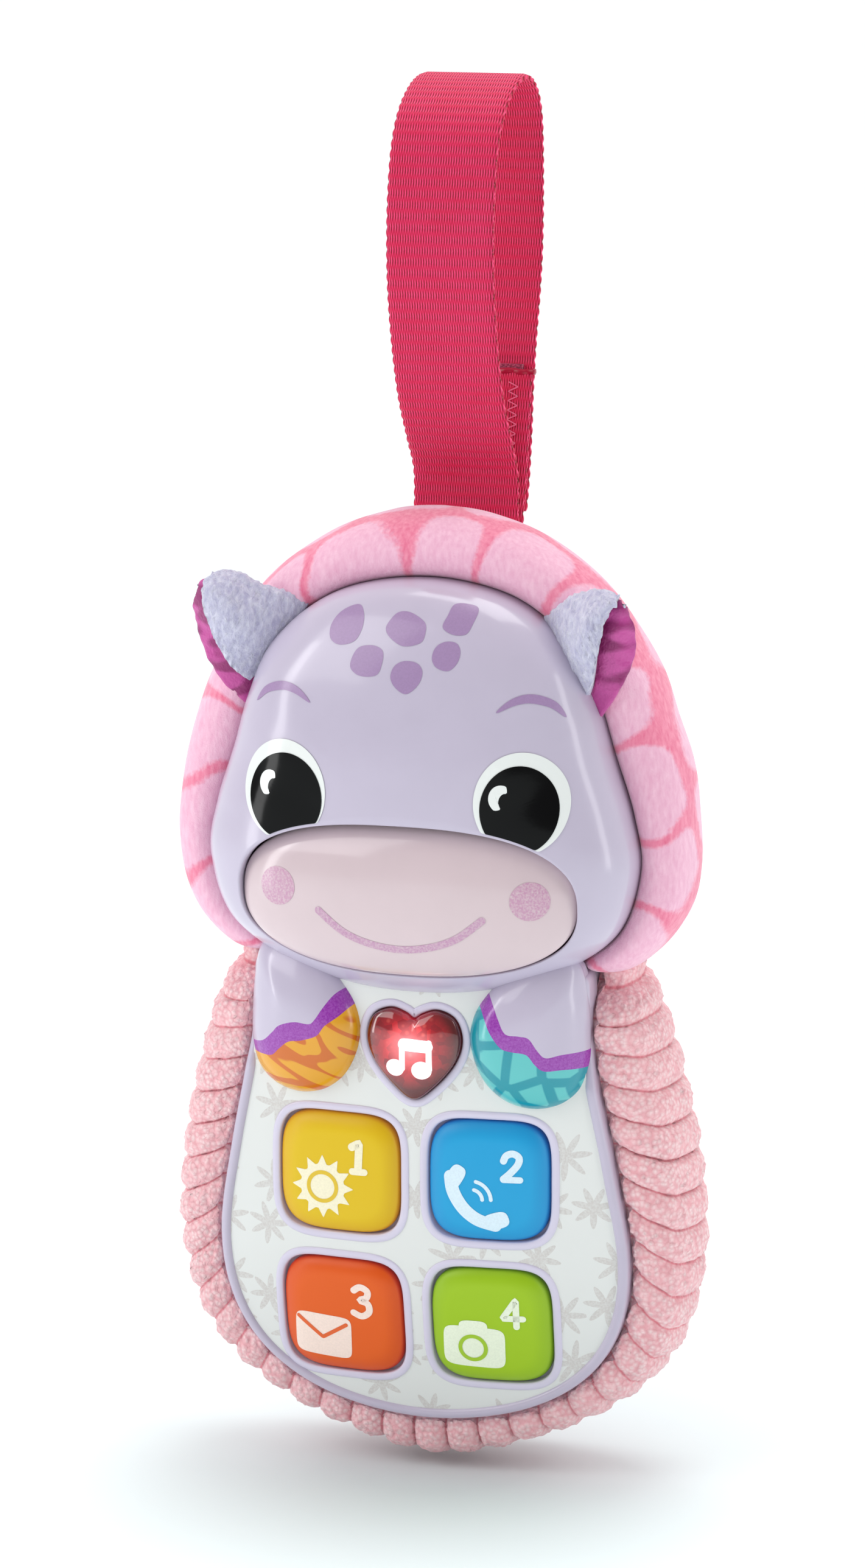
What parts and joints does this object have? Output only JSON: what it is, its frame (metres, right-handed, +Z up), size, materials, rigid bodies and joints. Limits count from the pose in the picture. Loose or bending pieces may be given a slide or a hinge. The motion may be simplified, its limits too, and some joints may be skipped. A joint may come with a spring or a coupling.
{
  "type": "toy cell phone",
  "caption": "Animal-faced toy phone in a quilted plush jacket, with a padded hood and ears, push keys, a squeeze muzzle, a battery door and a hook-and-loop strap it hangs from.",
  "frame": {"origin": "the point inside the crown of the webbing loop that rests on whatever the toy hangs from", "axes": "+Z up, -Y out of the face and the keys, +X to the viewer's right"},
  "size_m": [0.102, 0.0625, 0.2565],
  "materials": {
    "webbing": "woven",
    "tape": "hook and loop",
    "fleece": "quilted boucle",
    "hood_cloth": "printed velour",
    "ear_fur": "short pile",
    "ear_satin": "printed satin",
    "lilac": "glossy",
    "label": "printed film",
    "muzzle_pink": "glossy",
    "heart_red": "clear tinted",
    "yellow": "glossy",
    "blue": "glossy",
    "orange": "glossy",
    "green": "glossy",
    "rubber": "matt",
    "board": "solder mask",
    "black": "matt",
    "clear": "clear",
    "steel": "plated",
    "cell": "printed sleeve",
    "red_wire": "insulation"
  },
  "bodies": {
    "strap": {"strap_front": "webbing", "strap_tab": "webbing", "loop_tape": "tape"},
    "strap_rear": {"strap_rear": "webbing", "hook_tape": "tape"},
    "phone": {"strap_anchor": "webbing", "plush_body": "fleece", "face_shell": "lilac", "body_panel": "lilac", "panel_label": "label", "rear_case": "lilac", "circuit_board": "board", "keypad_membrane": "rubber", "heart_led": "clear", "sound_chip": "black", "muzzle_switch_board": "board", "muzzle_switch_dome": "rubber", "speaker": "black", "slide_switch": "steel", "battery_1": "cell", "battery_2": "cell", "battery_spring_1": "steel", "battery_spring_2": "steel", "battery_contact": "steel", "case_screw_1": "steel", "case_screw_2": "steel", "case_screw_3": "steel", "case_screw_4": "steel", "speaker_wire": "red_wire", "battery_wire": "red_wire", "muzzle_wire": "red_wire"},
    "hood": {"hood": "hood_cloth"},
    "ear_left": {"ear_left": "ear_fur", "ear_lining_left": "ear_satin"},
    "ear_right": {"ear_right": "ear_fur", "ear_lining_right": "ear_satin"},
    "muzzle": {"muzzle_button": "muzzle_pink"},
    "heart": {"heart_button": "heart_red"},
    "key_1": {"key_1": "yellow"},
    "key_2": {"key_2": "blue"},
    "key_3": {"key_3": "orange"},
    "key_4": {"key_4": "green"},
    "slider": {"volume_slider": "black"},
    "door": {"battery_door": "lilac"},
    "door_screw": {"battery_door_screw": "steel"}
  },
  "joints": [
    {"name": "strap_swing", "type": "hinge", "parent": "strap", "child": "phone", "pos_m": [0, -0.0028, -0.0898], "axis": [1, 0, 0], "range_deg": [-8, 90]},
    {"name": "strap_open", "type": "hinge", "parent": "strap", "child": "strap_rear", "pos_m": [0, 0.0086, -0.0002], "axis": [1, 0, 0], "range_deg": [0, 100]},
    {"name": "hood_flip", "type": "hinge", "parent": "phone", "child": "hood", "pos_m": [0, -0.0215, -0.152], "axis": [1, 0, 0], "range_deg": [0, 60]},
    {"name": "ear_left_flop", "type": "hinge", "parent": "hood", "child": "ear_left", "pos_m": [-0.036, -0.0378, -0.1105], "axis": [0.4092, 0, 0.9124], "range_deg": [0, 20]},
    {"name": "ear_right_flop", "type": "hinge", "parent": "hood", "child": "ear_right", "pos_m": [0.036, -0.0378, -0.1105], "axis": [0.4092, 0, -0.9124], "range_deg": [0, 20]},
    {"name": "muzzle_press", "type": "slide", "parent": "phone", "child": "muzzle", "axis": [0, 1, 0], "range_m": [0, 0.0025], "stiffness_N_per_m": 800},
    {"name": "heart_press", "type": "slide", "parent": "phone", "child": "heart", "axis": [0, 1, 0], "range_m": [0, 0.0015], "stiffness_N_per_m": 600},
    {"name": "key_1_press", "type": "slide", "parent": "phone", "child": "key_1", "axis": [0, 1, 0], "range_m": [0, 0.0018], "stiffness_N_per_m": 600},
    {"name": "key_2_press", "type": "slide", "parent": "phone", "child": "key_2", "axis": [0, 1, 0], "range_m": [0, 0.0018], "stiffness_N_per_m": 600},
    {"name": "key_3_press", "type": "slide", "parent": "phone", "child": "key_3", "axis": [0, 1, 0], "range_m": [0, 0.0018], "stiffness_N_per_m": 600},
    {"name": "key_4_press", "type": "slide", "parent": "phone", "child": "key_4", "axis": [0, 1, 0], "range_m": [0, 0.0018], "stiffness_N_per_m": 600},
    {"name": "volume_slide", "type": "slide", "parent": "phone", "child": "slider", "axis": [1, 0, 0], "range_m": [0, 0.006]},
    {"name": "door_lift", "type": "slide", "parent": "phone", "child": "door", "axis": [0, 1, 0], "range_m": [0, 0.03]},
    {"name": "door_screw_turn", "type": "hinge", "parent": "door", "child": "door_screw", "pos_m": [0, -0.0029, -0.177], "axis": [0, 1, 0], "range_deg": [0, 1080]}
  ]
}
